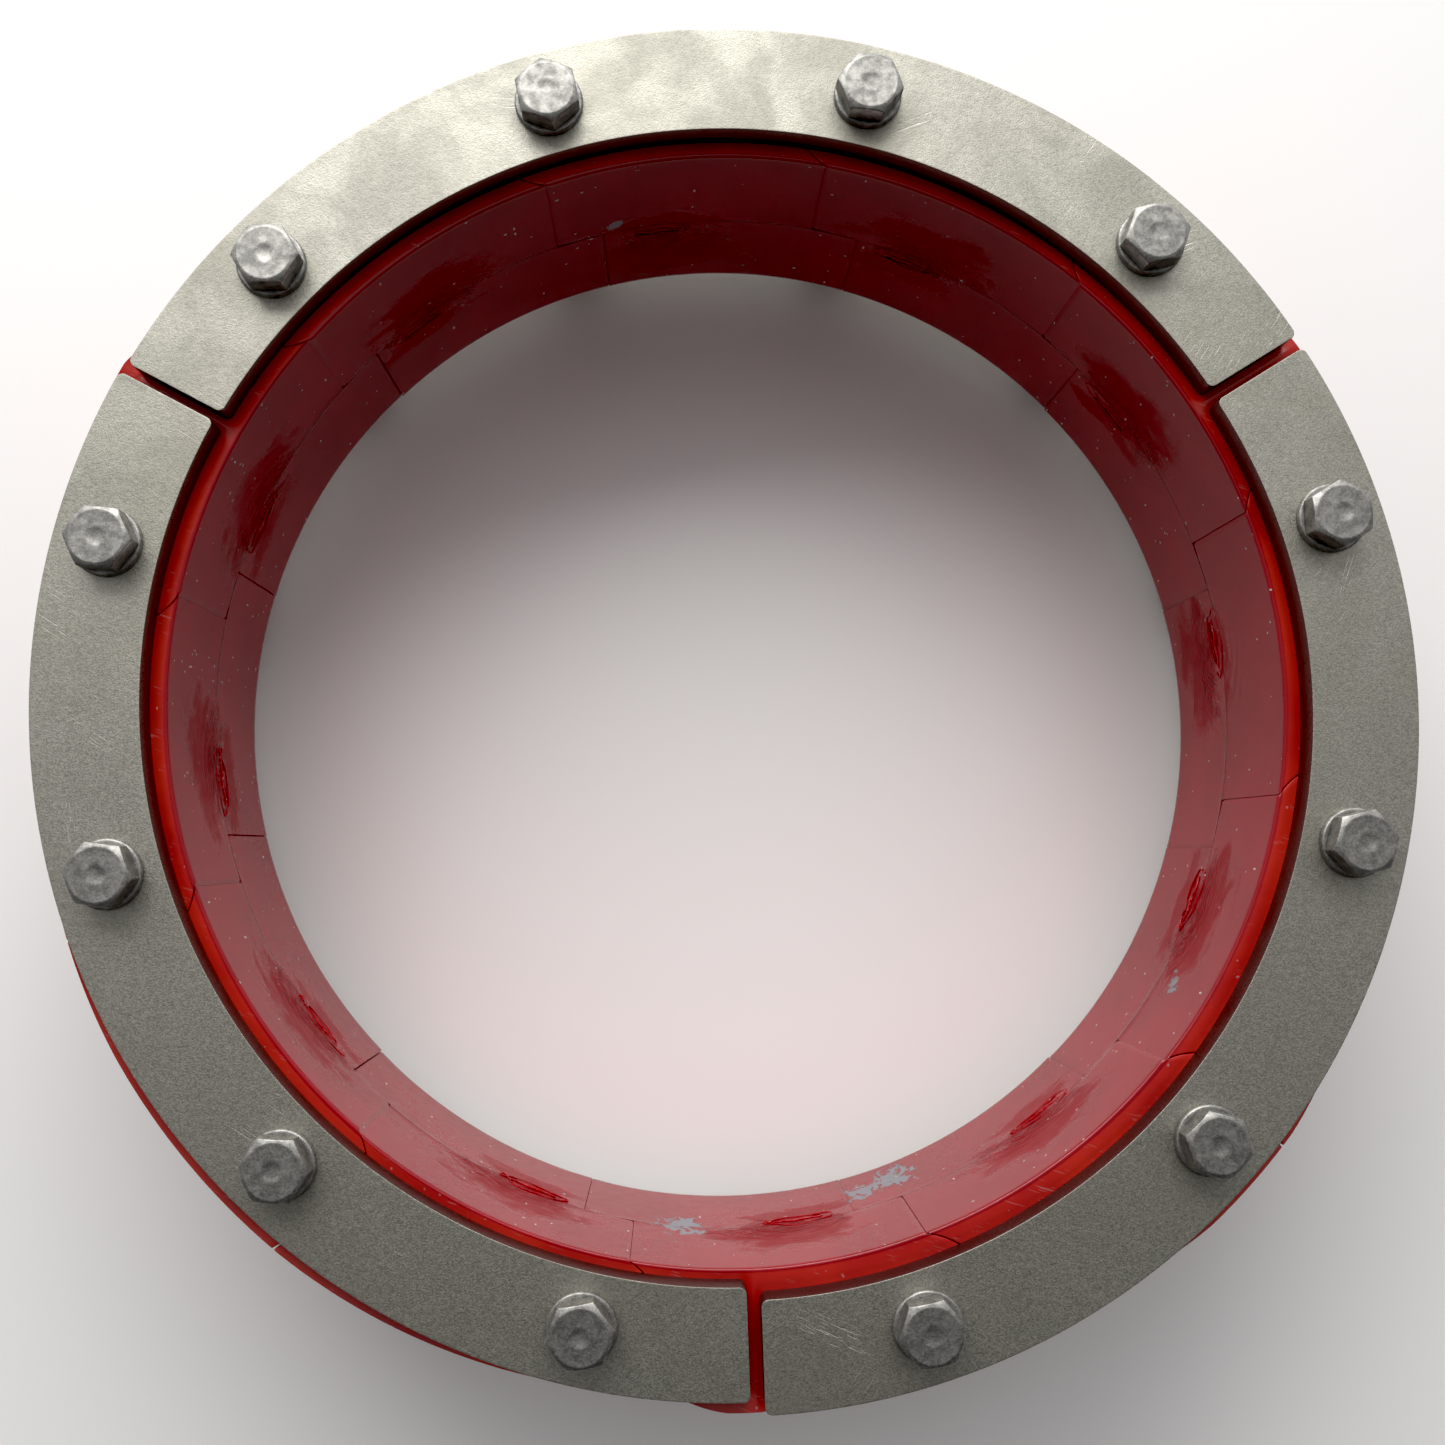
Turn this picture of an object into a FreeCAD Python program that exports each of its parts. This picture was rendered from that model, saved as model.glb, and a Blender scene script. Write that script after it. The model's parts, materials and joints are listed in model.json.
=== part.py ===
import FreeCAD, Part

import math
import os

import Sketcher

# Segmented annular seal that closes the gap round a DN 300 pipe in a 400 mm bore hole.
# Twelve half-lapped elastomer links form a ring between three front and three rear
# pressure plates. Four M10 screws run through each segment into nuts on the rear plate.
# Frame: origin at the centre of the bore, half way along the links, +Z towards the screw heads.

# Driving dimensions, in millimetres and degrees.
SIZES = {
    # arrangement of the ring
    "segment_count": 3,
    "screws_per_segment": 4,
    "ring_start_angle": 30,
    "screw_circle_radius": 181.5,
    # each segment's plates and screws sit a little off the ring's centre, within the soft links
    "segment_1_shift_x": -0.4,
    "segment_1_shift_y": 0.5,
    "segment_2_shift_x": -0.7,
    "segment_2_shift_y": 1.6,
    "segment_3_shift_x": 0.5,
    "segment_3_shift_y": -2.0,
    # elastomer links
    "bore_radius": 162.2,
    "link_outer_radius": 198.75,
    "link_depth": 80,
    "lap_radius": 20.85,
    "lap_gap": 0.15,
    "link_hole_diameter": 11,
    # pressure plates
    "plate_outer_radius": 197.4,
    "plate_inner_radius": 166.6,
    "plate_thickness": 8,
    # how far each plate's ends stop short of the lines that part the ring into thirds
    "plate_1_start_gap": 1.1,
    "plate_1_end_gap": 1.95,
    "plate_2_start_gap": 1.95,
    "plate_2_end_gap": 1.4,
    "plate_3_start_gap": 1.3,
    "plate_3_end_gap": 0.3,
    "plate_corner_radius": 2,
    "plate_hole_diameter": 11,
    # M10 hexagon screws
    "hexagon_across_flats": 17,
    "screw_diameter": 10,
    "screw_length": 110,
    "head_height": 6.4,
    "head_face_radius": 8.1,
    "corner_slope": 30,
    "tip_bevel": 1.2,
    # plain washers and rear nuts
    "washer_diameter": 20,
    "washer_hole_diameter": 10.5,
    "washer_thickness": 2,
    "nut_height": 8,
    "thread_clearance": 0.05,
}

# Angle of one corner of each screw's hexagon from +X: the screws were tightened by hand.
HEAD_TURNS = (9, 50, 40, 59, 53, 51, 55, 7, 9, 43, 11, 30)

ORIGIN = FreeCAD.Vector(0, 0, 0)
Z_AXIS = FreeCAD.Vector(0, 0, 1)
ORIGIN_POINT = (-1, 1)
START, END, CENTRE = 1, 2, 3
CLEAR_OF_HEXAGON = 3

SCREW_COUNT = SIZES["segment_count"] * SIZES["screws_per_segment"]
PITCH = "360 deg / (Sizes.segment_count * Sizes.screws_per_segment)"


def make_document():
    """The document and its spreadsheet of driving dimensions."""
    doc = FreeCAD.newDocument("annular_seal")
    sheet = doc.addObject("Spreadsheet::Sheet", "Sizes")
    turns = {f"head_turn_{n:02d}": turn for n, turn in enumerate(HEAD_TURNS, 1)}
    for row, (name, value) in enumerate({**SIZES, **turns}.items(), 1):
        sheet.set(f"A{row}", name)
        sheet.set(f"B{row}", str(value))
        sheet.setAlias(f"B{row}", name)
    doc.recompute()
    return doc


def polar(radius, degrees):
    """A point of the XY plane from its radius and its angle."""
    angle = math.radians(degrees)
    return FreeCAD.Vector(radius * math.cos(angle), radius * math.sin(angle), 0)


def new_body(doc, label):
    """An empty body whose placement is free to turn about Z."""
    body = doc.addObject("PartDesign::Body", label)
    body.Label = label
    body.Placement = FreeCAD.Placement(ORIGIN, FreeCAD.Rotation(Z_AXIS, 1))
    return body


def place(body, x="0", y="0", z="0", turn="0"):
    """Bind a body's place and its turn about Z to the sheet."""
    body.setExpression("Placement.Base.x", x)
    body.setExpression("Placement.Base.y", y)
    body.setExpression("Placement.Base.z", z)
    body.setExpression("Placement.Rotation.Angle", turn)


def origin_feature(body, role):
    """One of the body's own origin planes or axes."""
    return next(item for item in body.Origin.OriginFeatures if item.Role == role)


def new_sketch(body, name, plane="XY_Plane"):
    """A sketch on one of the body's own origin planes."""
    sketch = body.newObject("Sketcher::SketchObject", name)
    sketch.AttachmentSupport = [(origin_feature(body, plane), "")]
    sketch.MapMode = "FlatFace"
    return sketch


def join(sketch, first, second):
    """Make two sketch points coincide."""
    sketch.addConstraint(Sketcher.Constraint("Coincident", *first, *second))


def dimension(sketch, name, expression, *definition):
    """Add a dimension and bind it to the sheet."""
    index = sketch.addConstraint(Sketcher.Constraint(*definition))
    sketch.renameConstraint(index, name)
    sketch.setExpression(f"Constraints.{name}", expression)


def circle(sketch, name, diameter_expression, x_expression="0", y_expression="0", at=ORIGIN, size=1.0):
    """A circle with a bound diameter, and a bound centre unless it lies on the origin."""
    index = sketch.addGeometry(Part.Circle(at, Z_AXIS, size))
    dimension(sketch, f"{name}_diameter", diameter_expression, "Diameter", index, 2 * size)
    if at == ORIGIN:
        join(sketch, (index, CENTRE), ORIGIN_POINT)
    else:
        dimension(sketch, f"{name}_x", x_expression, "DistanceX", *ORIGIN_POINT, index, CENTRE, at.x)
        dimension(sketch, f"{name}_y", y_expression, "DistanceY", *ORIGIN_POINT, index, CENTRE, at.y)


def arc(sketch, centre, start, end):
    """An arc that runs counter-clockwise about its centre from start to end."""
    first = math.atan2(start.y - centre.y, start.x - centre.x)
    last = math.atan2(end.y - centre.y, end.x - centre.x)
    if last < first:
        last += 2 * math.pi
    radius = start.distanceToPoint(centre)
    return sketch.addGeometry(Part.ArcOfCircle(Part.Circle(centre, Z_AXIS, radius), first, last))


def pad(body, name, sketch, expression, backwards=False):
    """A pad of bound length."""
    feature = body.newObject("PartDesign::Pad", name)
    feature.Profile = sketch
    feature.Reversed = backwards
    feature.setExpression("Length", expression)
    sketch.Visibility = False
    return feature


def pocket(body, name, sketch):
    """A pocket that cuts through everything on both sides of its sketch."""
    feature = body.newObject("PartDesign::Pocket", name)
    feature.Profile = sketch
    feature.Type = "ThroughAll"
    feature.Midplane = True
    return feature


def hexagon(body, name):
    """A hexagon sketch with one corner on the local X axis, bound to the width across flats."""
    sketch = new_sketch(body, name)
    radius = SIZES["hexagon_across_flats"] / math.sqrt(3)
    corners = [polar(radius, 60 * corner) for corner in range(6)]
    for first, second in zip(corners, corners[1:] + corners[:1]):
        sketch.addGeometry(Part.LineSegment(first, second))
    rim = sketch.addGeometry(Part.Circle(ORIGIN, Z_AXIS, radius), True)
    join(sketch, (rim, CENTRE), ORIGIN_POINT)
    for side in range(6):
        join(sketch, (side, END), ((side + 1) % 6, START))
        sketch.addConstraint(Sketcher.Constraint("PointOnObject", side, START, rim))
    for side in range(1, 6):
        sketch.addConstraint(Sketcher.Constraint("Equal", 0, side))
    sketch.addConstraint(Sketcher.Constraint("PointOnObject", 0, START, -1))
    rim_diameter = "2 * Sizes.hexagon_across_flats / sqrt(3)"
    dimension(sketch, "rim_diameter", rim_diameter, "Diameter", rim, 2 * radius)
    return sketch


def turn_off_corner(body, name, face_radius, outer_radius, face_height, slope, down):
    """Cut a cone off an end's outer corner. Each size is a pair: its expression and its value."""
    sketch = new_sketch(body, f"{name}_profile", "XZ_Plane")
    drop = (outer_radius[1] - face_radius[1]) * math.tan(math.radians(slope[1]))
    far_height = face_height[1] - drop if down else face_height[1] + drop
    face = FreeCAD.Vector(face_radius[1], face_height[1], 0)
    rim = FreeCAD.Vector(outer_radius[1], face_height[1], 0)
    far = FreeCAD.Vector(outer_radius[1], far_height, 0)
    for first, second in ((face, rim), (rim, far), (far, face)):
        sketch.addGeometry(Part.LineSegment(first, second))
    for side in range(3):
        join(sketch, (side, END), ((side + 1) % 3, START))
    sketch.addConstraint(Sketcher.Constraint("Horizontal", 0))
    sketch.addConstraint(Sketcher.Constraint("Vertical", 1))
    drop_expression = f"({outer_radius[0]} - ({face_radius[0]})) * tan({slope[0]})"
    dimension(sketch, "face_radius", face_radius[0], "DistanceX", *ORIGIN_POINT, 0, START, face.x)
    dimension(sketch, "outer_radius", outer_radius[0], "DistanceX", *ORIGIN_POINT, 0, END, rim.x)
    lower, upper = ((1, END), (1, START)) if down else ((1, START), (1, END))
    dimension(sketch, "drop", drop_expression, "DistanceY", *lower, *upper, drop)
    if face_height[1] > 0:
        dimension(sketch, "height", face_height[0], "DistanceY", *ORIGIN_POINT, 0, START, face_height[1])
    else:
        dimension(sketch, "height", f"-({face_height[0]})", "DistanceY", 0, START, *ORIGIN_POINT,
                  -face_height[1])
    groove = body.newObject("PartDesign::Groove", name)
    groove.Profile = sketch
    groove.ReferenceAxis = (sketch, ["V_Axis"])
    groove.Angle = 360


def segment_of(screw):
    """The number of the segment that a screw belongs to."""
    return (screw - 1) // SIZES["screws_per_segment"] % SIZES["segment_count"] + 1


def screw_angle(screw):
    """Expression for a screw's angle on the ring."""
    return f"(Sizes.ring_start_angle * 1 deg + {screw - 0.5} * {PITCH})"


def at_screw(screw):
    """Expressions for the X and Y of a screw's axis."""
    angle = screw_angle(screw)
    shift = f"Sizes.segment_{segment_of(screw)}_shift"
    return (f"Sizes.screw_circle_radius * cos({angle}) + {shift}_x",
            f"Sizes.screw_circle_radius * sin({angle}) + {shift}_y")


def make_plate(doc, label, segment, z_expression):
    """A steel arc over one third of the ring, with rounded corners and a row of screw holes."""
    body = new_body(doc, label)
    half_angle = 180 / SIZES["segment_count"]
    gap_names = {1: f"plate_{segment}_end_gap", -1: f"plate_{segment}_start_gap"}
    along = polar(1, half_angle)

    def end_point(radius, side):
        gap = SIZES[gap_names[side]]
        point = along * math.sqrt(radius ** 2 - gap ** 2) + polar(gap, half_angle - 90)
        return FreeCAD.Vector(point.x, side * point.y, 0)

    sketch = new_sketch(body, "outline")
    inner, outer = SIZES["plate_inner_radius"], SIZES["plate_outer_radius"]
    rim = arc(sketch, ORIGIN, end_point(outer, -1), end_point(outer, 1))
    bore = arc(sketch, ORIGIN, end_point(inner, -1), end_point(inner, 1))
    left = sketch.addGeometry(Part.LineSegment(end_point(inner, 1), end_point(outer, 1)))
    right = sketch.addGeometry(Part.LineSegment(end_point(inner, -1), end_point(outer, -1)))
    for line, corner in ((left, END), (right, START)):
        join(sketch, (line, START), (bore, corner))
        join(sketch, (line, END), (rim, corner))
    for edge, name in ((rim, "plate_outer_radius"), (bore, "plate_inner_radius")):
        join(sketch, (edge, CENTRE), ORIGIN_POINT)
        dimension(sketch, name, f"Sizes.{name}", "Radius", edge, SIZES[name])
    for line, name, side in ((left, "left", 1), (right, "right", -1)):
        dimension(sketch, f"{name}_angle", f"{side} * 180 deg / Sizes.segment_count",
                  "Angle", line, math.radians(side * half_angle))
        dimension(sketch, f"{name}_gap", f"Sizes.{gap_names[side]}", "Distance", *ORIGIN_POINT, line,
                  SIZES[gap_names[side]])
    slab = pad(body, "slab", sketch, "Sizes.plate_thickness")
    doc.recompute()

    corners = body.newObject("PartDesign::Fillet", "corners")
    upright = [f"Edge{n}" for n, edge in enumerate(slab.Shape.Edges, 1)
               if abs(edge.tangentAt(edge.FirstParameter).z) > 0.9]
    corners.Base = (slab, upright)
    corners.setExpression("Radius", "Sizes.plate_corner_radius")

    holes = new_sketch(body, "first_hole")
    first_angle = half_angle * (1 / SIZES["screws_per_segment"] - 1)
    first = "(180 deg / Sizes.segment_count * (1 / Sizes.screws_per_segment - 1))"
    circle(holes, "hole", "Sizes.plate_hole_diameter",
           f"Sizes.screw_circle_radius * cos({first})", f"Sizes.screw_circle_radius * sin({first})",
           at=polar(SIZES["screw_circle_radius"], first_angle), size=SIZES["plate_hole_diameter"] / 2)
    drilled = pocket(body, "hole", holes)
    row = body.newObject("PartDesign::PolarPattern", "hole_row")
    row.Originals = [drilled]
    row.Axis = (origin_feature(body, "Z_Axis"), [""])
    row.setExpression("Angle", f"{PITCH} * (Sizes.screws_per_segment - 1)")
    row.setExpression("Occurrences", "Sizes.screws_per_segment")
    body.Tip = row

    place(body, f"Sizes.segment_{segment}_shift_x", f"Sizes.segment_{segment}_shift_y", z_expression,
          f"Sizes.ring_start_angle * 1 deg + {segment - 0.5} * 360 deg / Sizes.segment_count")
    return body


def make_link(doc, label, screw):
    """An elastomer link from one screw to the next, half-lapped into both its neighbours.

    Its front half ends in a round lug about its own screw and its rear half in one about the
    screw before. The other end of each half is a hollow seat round the neighbour's lug.
    """
    body = new_body(doc, label)
    pitch = 360 / SCREW_COUNT
    circle_radius = SIZES["screw_circle_radius"]

    def lap_point(ring_radius, lap_radius, angle):
        """Where the lap's arc about a screw meets a ring circle, on its counter-clockwise side."""
        squares = circle_radius ** 2 + ring_radius ** 2 - lap_radius ** 2
        offset = math.degrees(math.acos(squares / (2 * circle_radius * ring_radius)))
        return polar(ring_radius, angle + offset)

    sketch = new_sketch(body, "front_half")
    bore_radius, outer_radius = SIZES["bore_radius"], SIZES["link_outer_radius"]
    laps = {"lug": (pitch / 2, SIZES["lap_radius"], "Sizes.lap_radius"),
            "seat": (-pitch / 2, SIZES["lap_radius"] + SIZES["lap_gap"], "Sizes.lap_radius + Sizes.lap_gap")}
    inner = {name: lap_point(bore_radius, radius, angle) for name, (angle, radius, _) in laps.items()}
    outer = {name: lap_point(outer_radius, radius, angle) for name, (angle, radius, _) in laps.items()}
    rim = arc(sketch, ORIGIN, outer["seat"], outer["lug"])
    bore = arc(sketch, ORIGIN, inner["seat"], inner["lug"])
    for edge, name in ((rim, "link_outer_radius"), (bore, "bore_radius")):
        join(sketch, (edge, CENTRE), ORIGIN_POINT)
        dimension(sketch, name, f"Sizes.{name}", "Radius", edge, SIZES[name])
    for name, ring_end in (("lug", END), ("seat", START)):
        angle, radius, expression = laps[name]
        centre = polar(circle_radius, angle)
        lap = arc(sketch, centre, outer[name], inner[name])
        spoke = sketch.addGeometry(Part.LineSegment(ORIGIN, centre), True)
        join(sketch, (spoke, START), ORIGIN_POINT)
        join(sketch, (spoke, END), (lap, CENTRE))
        join(sketch, (lap, START), (rim, ring_end))
        join(sketch, (lap, END), (bore, ring_end))
        dimension(sketch, f"{name}_radius", expression, "Radius", lap, radius)
        dimension(sketch, f"{name}_reach", "Sizes.screw_circle_radius", "Distance", spoke, circle_radius)
        sign = "" if angle > 0 else "-"
        dimension(sketch, f"{name}_angle", f"{sign}{PITCH} / 2", "Angle", spoke, math.radians(angle))
    front = pad(body, "front_lap", sketch, "Sizes.link_depth / 2")
    doc.recompute()

    both = body.newObject("PartDesign::PolarPattern", "rear_lap")
    both.Originals = [front]
    both.Axis = (origin_feature(body, "X_Axis"), [""])
    both.Angle = 360
    both.Occurrences = 2
    body.Tip = both
    doc.recompute()

    holes = new_sketch(body, "screw_holes")
    turn = f"({screw_angle(screw)} - {PITCH} / 2)"
    hole_radius = SIZES["link_hole_diameter"] / 2
    for name, number, side in (("front_hole", screw, 1), ("rear_hole", screw - 1 or SCREW_COUNT, -1)):
        shift = f"Sizes.segment_{segment_of(number)}_shift"
        angle = f"({side} * {PITCH} / 2)"
        x = f"Sizes.screw_circle_radius * cos({angle}) + {shift}_x * cos({turn}) + {shift}_y * sin({turn})"
        y = f"Sizes.screw_circle_radius * sin({angle}) + {shift}_y * cos({turn}) - {shift}_x * sin({turn})"
        at = polar(circle_radius, side * pitch / 2)
        circle(holes, name, "Sizes.link_hole_diameter", x, y, at=at, size=hole_radius)
    pocket(body, "holes", holes)
    place(body, turn=turn)
    return body


def make_screw(doc, label, screw):
    """A hexagon screw: bevelled head above the local XY plane, shank below it."""
    body = new_body(doc, label)
    head = hexagon(body, "head_outline")
    pad(body, "head", head, "Sizes.head_height")
    shank = new_sketch(body, "shank_outline")
    circle(shank, "shank", "Sizes.screw_diameter", size=SIZES["screw_diameter"] / 2)
    pad(body, "shank", shank, "Sizes.screw_length", backwards=True)
    doc.recompute()
    flats = SIZES["hexagon_across_flats"] / math.sqrt(3)
    turn_off_corner(body, "head_bevel",
                    ("Sizes.head_face_radius", SIZES["head_face_radius"]),
                    (f"Sizes.hexagon_across_flats / sqrt(3) + {CLEAR_OF_HEXAGON}", flats + CLEAR_OF_HEXAGON),
                    ("Sizes.head_height", SIZES["head_height"]),
                    ("Sizes.corner_slope * 1 deg", SIZES["corner_slope"]), down=True)
    radius = SIZES["screw_diameter"] / 2
    turn_off_corner(body, "tip_bevel",
                    ("Sizes.screw_diameter / 2 - Sizes.tip_bevel", radius - SIZES["tip_bevel"]),
                    ("Sizes.screw_diameter / 2 + Sizes.tip_bevel", radius + SIZES["tip_bevel"]),
                    ("-Sizes.screw_length", -SIZES["screw_length"]), ("45 deg", 45), down=False)
    x, y = at_screw(screw)
    z = "Sizes.link_depth / 2 + Sizes.plate_thickness + Sizes.washer_thickness"
    place(body, x, y, z, f"Sizes.head_turn_{screw:02d} * 1 deg")
    return body


def make_washer(doc, label, screw):
    """A plain washer between the screw's head and the front plate."""
    body = new_body(doc, label)
    ring = new_sketch(body, "ring")
    circle(ring, "outer", "Sizes.washer_diameter", size=SIZES["washer_diameter"] / 2)
    circle(ring, "inner", "Sizes.washer_hole_diameter", size=SIZES["washer_hole_diameter"] / 2)
    pad(body, "disc", ring, "Sizes.washer_thickness")
    x, y = at_screw(screw)
    place(body, x, y, "Sizes.link_depth / 2 + Sizes.plate_thickness")
    return body


def make_nut(doc, label, screw):
    """A hexagon nut on the rear plate, bevelled on its free face."""
    body = new_body(doc, label)
    pad(body, "blank", hexagon(body, "outline"), "Sizes.nut_height", backwards=True)
    doc.recompute()
    bore = new_sketch(body, "bore_outline")
    clearance = "Sizes.screw_diameter + 2 * Sizes.thread_clearance"
    circle(bore, "bore", clearance, size=SIZES["screw_diameter"] / 2 + SIZES["thread_clearance"])
    pocket(body, "bore", bore)
    flats = SIZES["hexagon_across_flats"] / math.sqrt(3)
    turn_off_corner(body, "rear_bevel",
                    ("Sizes.head_face_radius", SIZES["head_face_radius"]),
                    (f"Sizes.hexagon_across_flats / sqrt(3) + {CLEAR_OF_HEXAGON}", flats + CLEAR_OF_HEXAGON),
                    ("-Sizes.nut_height", -SIZES["nut_height"]),
                    ("Sizes.corner_slope * 1 deg", SIZES["corner_slope"]), down=False)
    x, y = at_screw(screw)
    place(body, x, y, "-Sizes.link_depth / 2 - Sizes.plate_thickness", screw_angle(screw))
    return body


def check(doc, nodes):
    """Stop if a feature failed, a cut removed nothing, or a sub-part is not one valid solid."""
    for item in doc.Objects:
        if "Invalid" in item.State or "Error" in item.State:
            raise RuntimeError(f"{item.Label}: {item.State}")
        if item.TypeId in ("PartDesign::Pocket", "PartDesign::Groove"):
            if item.Shape.Volume > item.BaseFeature.Shape.Volume - 1e-3:
                raise RuntimeError(f"{item.Label} of {item.getParent().Label} cuts nothing")
    for node in nodes:
        if node.Shape.isNull() or not node.Shape.isValid() or len(node.Shape.Solids) != 1:
            raise RuntimeError(f"{node.Label} is not one valid solid")


def build():
    """Make every sub-part and write each one to its own STEP file."""
    doc = make_document()
    nodes = []
    for segment in range(1, SIZES["segment_count"] + 1):
        rear = "-Sizes.link_depth / 2 - Sizes.plate_thickness"
        nodes.append(make_plate(doc, f"front_plate_{segment}", segment, "Sizes.link_depth / 2"))
        nodes.append(make_plate(doc, f"rear_plate_{segment}", segment, rear))
    for screw in range(1, SCREW_COUNT + 1):
        nodes.append(make_link(doc, f"seal_link_{screw:02d}", screw))
        nodes.append(make_screw(doc, f"screw_{screw:02d}", screw))
        nodes.append(make_washer(doc, f"washer_{screw:02d}", screw))
        nodes.append(make_nut(doc, f"nut_{screw:02d}", screw))
    doc.recompute()
    check(doc, nodes)
    os.makedirs("parts", exist_ok=True)
    for node in nodes:
        node.Shape.exportStep(f"parts/{node.Label}.step")
        box = node.Shape.BoundBox
        print(f"{node.Label}: {node.Shape.Volume:.0f} mm3, z {box.ZMin:.1f} to {box.ZMax:.1f}")


build()
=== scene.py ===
import json
import math

import bmesh
import bpy
import numpy as np
from mathutils import Euler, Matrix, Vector
from mathutils.geometry import tessellate_polygon


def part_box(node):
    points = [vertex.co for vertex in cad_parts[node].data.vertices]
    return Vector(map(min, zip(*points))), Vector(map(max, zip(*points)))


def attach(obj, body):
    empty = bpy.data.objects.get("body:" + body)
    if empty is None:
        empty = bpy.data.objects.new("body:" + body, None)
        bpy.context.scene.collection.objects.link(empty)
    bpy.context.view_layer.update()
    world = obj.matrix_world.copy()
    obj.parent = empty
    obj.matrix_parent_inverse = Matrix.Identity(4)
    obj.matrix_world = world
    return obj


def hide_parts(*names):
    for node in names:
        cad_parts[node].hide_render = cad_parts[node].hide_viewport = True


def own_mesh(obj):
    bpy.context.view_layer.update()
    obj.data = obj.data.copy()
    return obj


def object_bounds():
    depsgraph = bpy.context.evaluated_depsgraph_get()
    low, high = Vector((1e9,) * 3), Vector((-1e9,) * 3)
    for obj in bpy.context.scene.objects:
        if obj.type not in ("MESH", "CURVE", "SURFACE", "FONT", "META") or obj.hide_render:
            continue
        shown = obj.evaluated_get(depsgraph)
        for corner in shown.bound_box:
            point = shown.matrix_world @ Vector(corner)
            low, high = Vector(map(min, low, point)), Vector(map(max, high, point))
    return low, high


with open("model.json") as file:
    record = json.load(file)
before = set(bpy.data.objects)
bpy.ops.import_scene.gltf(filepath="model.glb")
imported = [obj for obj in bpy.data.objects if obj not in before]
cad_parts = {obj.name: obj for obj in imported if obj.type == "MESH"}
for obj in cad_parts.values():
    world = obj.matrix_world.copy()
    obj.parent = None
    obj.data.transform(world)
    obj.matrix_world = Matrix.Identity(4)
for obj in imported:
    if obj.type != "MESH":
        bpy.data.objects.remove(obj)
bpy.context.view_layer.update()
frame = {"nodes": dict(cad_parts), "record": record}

# Lengths below are in millimetres, except those of the floor, light and camera, which are in metres.
MM = 0.001
SCREWS = range(1, 13)
SEGMENTS = (1, 2, 3)
PITCH = math.radians(30)
SEGMENT_ANGLE = math.radians(120)
SCREW_CIRCLE = 181.5

mounts = {mount["name"]: mount["dims"] for mount in frame["record"]["mounts"]}
BORE_RADIUS = mounts["pipe_bore"]["r_mm"]
RING_RADIUS = mounts["sleeve_seat"]["r_mm"]
HALF_DEPTH = mounts["pipe_bore"]["length_mm"] / 2


# ---------------------------------------------------------------- what the frame says


def corners(node):
    """Lowest and highest corner of a CAD node, in millimetres."""
    low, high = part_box(node)
    return np.array(low) / MM, np.array(high) / MM


def centre_of(node):
    low, high = corners(node)
    return (low + high) / 2


def points_of(node):
    """The vertices of a CAD node, in millimetres."""
    return np.array([vertex.co for vertex in frame["nodes"][node].data.vertices]) / MM


def segment_of(screw):
    return (screw - 1) // 4 + 1


def screw_angle(screw):
    return PITCH * (screw + 0.5)


def corner_turn(node):
    """Angle of one corner of a hexagonal node about its own axis."""
    around = points_of(node) - centre_of(node)
    spread = np.hypot(around[:, 0], around[:, 1])
    x, y = around[spread.argmax(), :2]
    return math.atan2(y, x)


def shift_of(segment):
    """How far a segment's plates and screws sit off the ring's centre."""
    screw = 4 * segment - 3
    nominal = SCREW_CIRCLE * np.array([math.cos(screw_angle(screw)), math.sin(screw_angle(screw))])
    return centre_of(f"washer_{screw:02d}")[:2] - nominal


SHIFTS = {segment: shift_of(segment) for segment in SEGMENTS}


def plate_radii(segment):
    spread = np.hypot(*(points_of(f"front_plate_{segment}")[:, :2] - SHIFTS[segment]).T)
    return spread.min(), spread.max()


def plate_gaps(segment):
    """How far the clockwise and the other end of a segment's plate stop short of the ring's thirds."""
    x, y = (points_of(f"front_plate_{segment}")[:, :2] - SHIFTS[segment]).T
    gaps = []
    for end, side in ((segment - 1, 1), (segment, -1)):
        angle = PITCH + SEGMENT_ANGLE * end
        along, beside = x * math.cos(angle) + y * math.sin(angle), y * math.cos(angle) - x * math.sin(angle)
        gaps.append((side * beside[along > PLATE_INNER / 2]).min())
    return gaps


PLATE_INNER, PLATE_OUTER = plate_radii(1)
PLATE_GAPS = {segment: plate_gaps(segment) for segment in SEGMENTS}
PLATE_CORNER = 2.0
PLATE_EDGE = 0.15
HOLE_EDGE = 0.3
HOLE_RADIUS = 5.5
ARC_POINTS = 180
# how far inside a rounded edge the flat face's own outline runs
SUPPORT = 0.4


# ---------------------------------------------------------------- meshes


def make_object(name, vertices, faces, sharp_degrees=None):
    """A smooth-shaded object from points in millimetres, its faces turned outwards."""
    mesh = bpy.data.meshes.new(name)
    metres = (np.asarray(vertices, float) * MM).tolist()
    mesh.from_pydata(metres, [], [list(map(int, face)) for face in faces])
    work = bmesh.new()
    work.from_mesh(mesh)
    bmesh.ops.recalc_face_normals(work, faces=work.faces)
    work.to_mesh(mesh)
    work.free()
    mesh.shade_smooth()
    if sharp_degrees:
        mesh.set_sharp_from_angle(angle=math.radians(sharp_degrees))
    made = bpy.data.objects.new(name, mesh)
    bpy.context.scene.collection.objects.link(made)
    return made


def finish_piece(piece, body, node, slot):
    """Ride the body, stand for the CAD node and take the slot's material."""
    piece.data.materials.clear()
    piece.data.materials.append(MATERIALS[slot])
    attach(piece, body)
    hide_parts(node)
    return piece


def apply_modifiers(piece):
    """Put the piece's modifiers into its mesh."""
    bpy.context.view_layer.update()
    solved = piece.evaluated_get(bpy.context.evaluated_depsgraph_get())
    mesh = bpy.data.meshes.new_from_object(solved)
    piece.modifiers.clear()
    old = piece.data
    piece.data = mesh
    mesh.name = piece.name
    bpy.data.meshes.remove(old)


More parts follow.
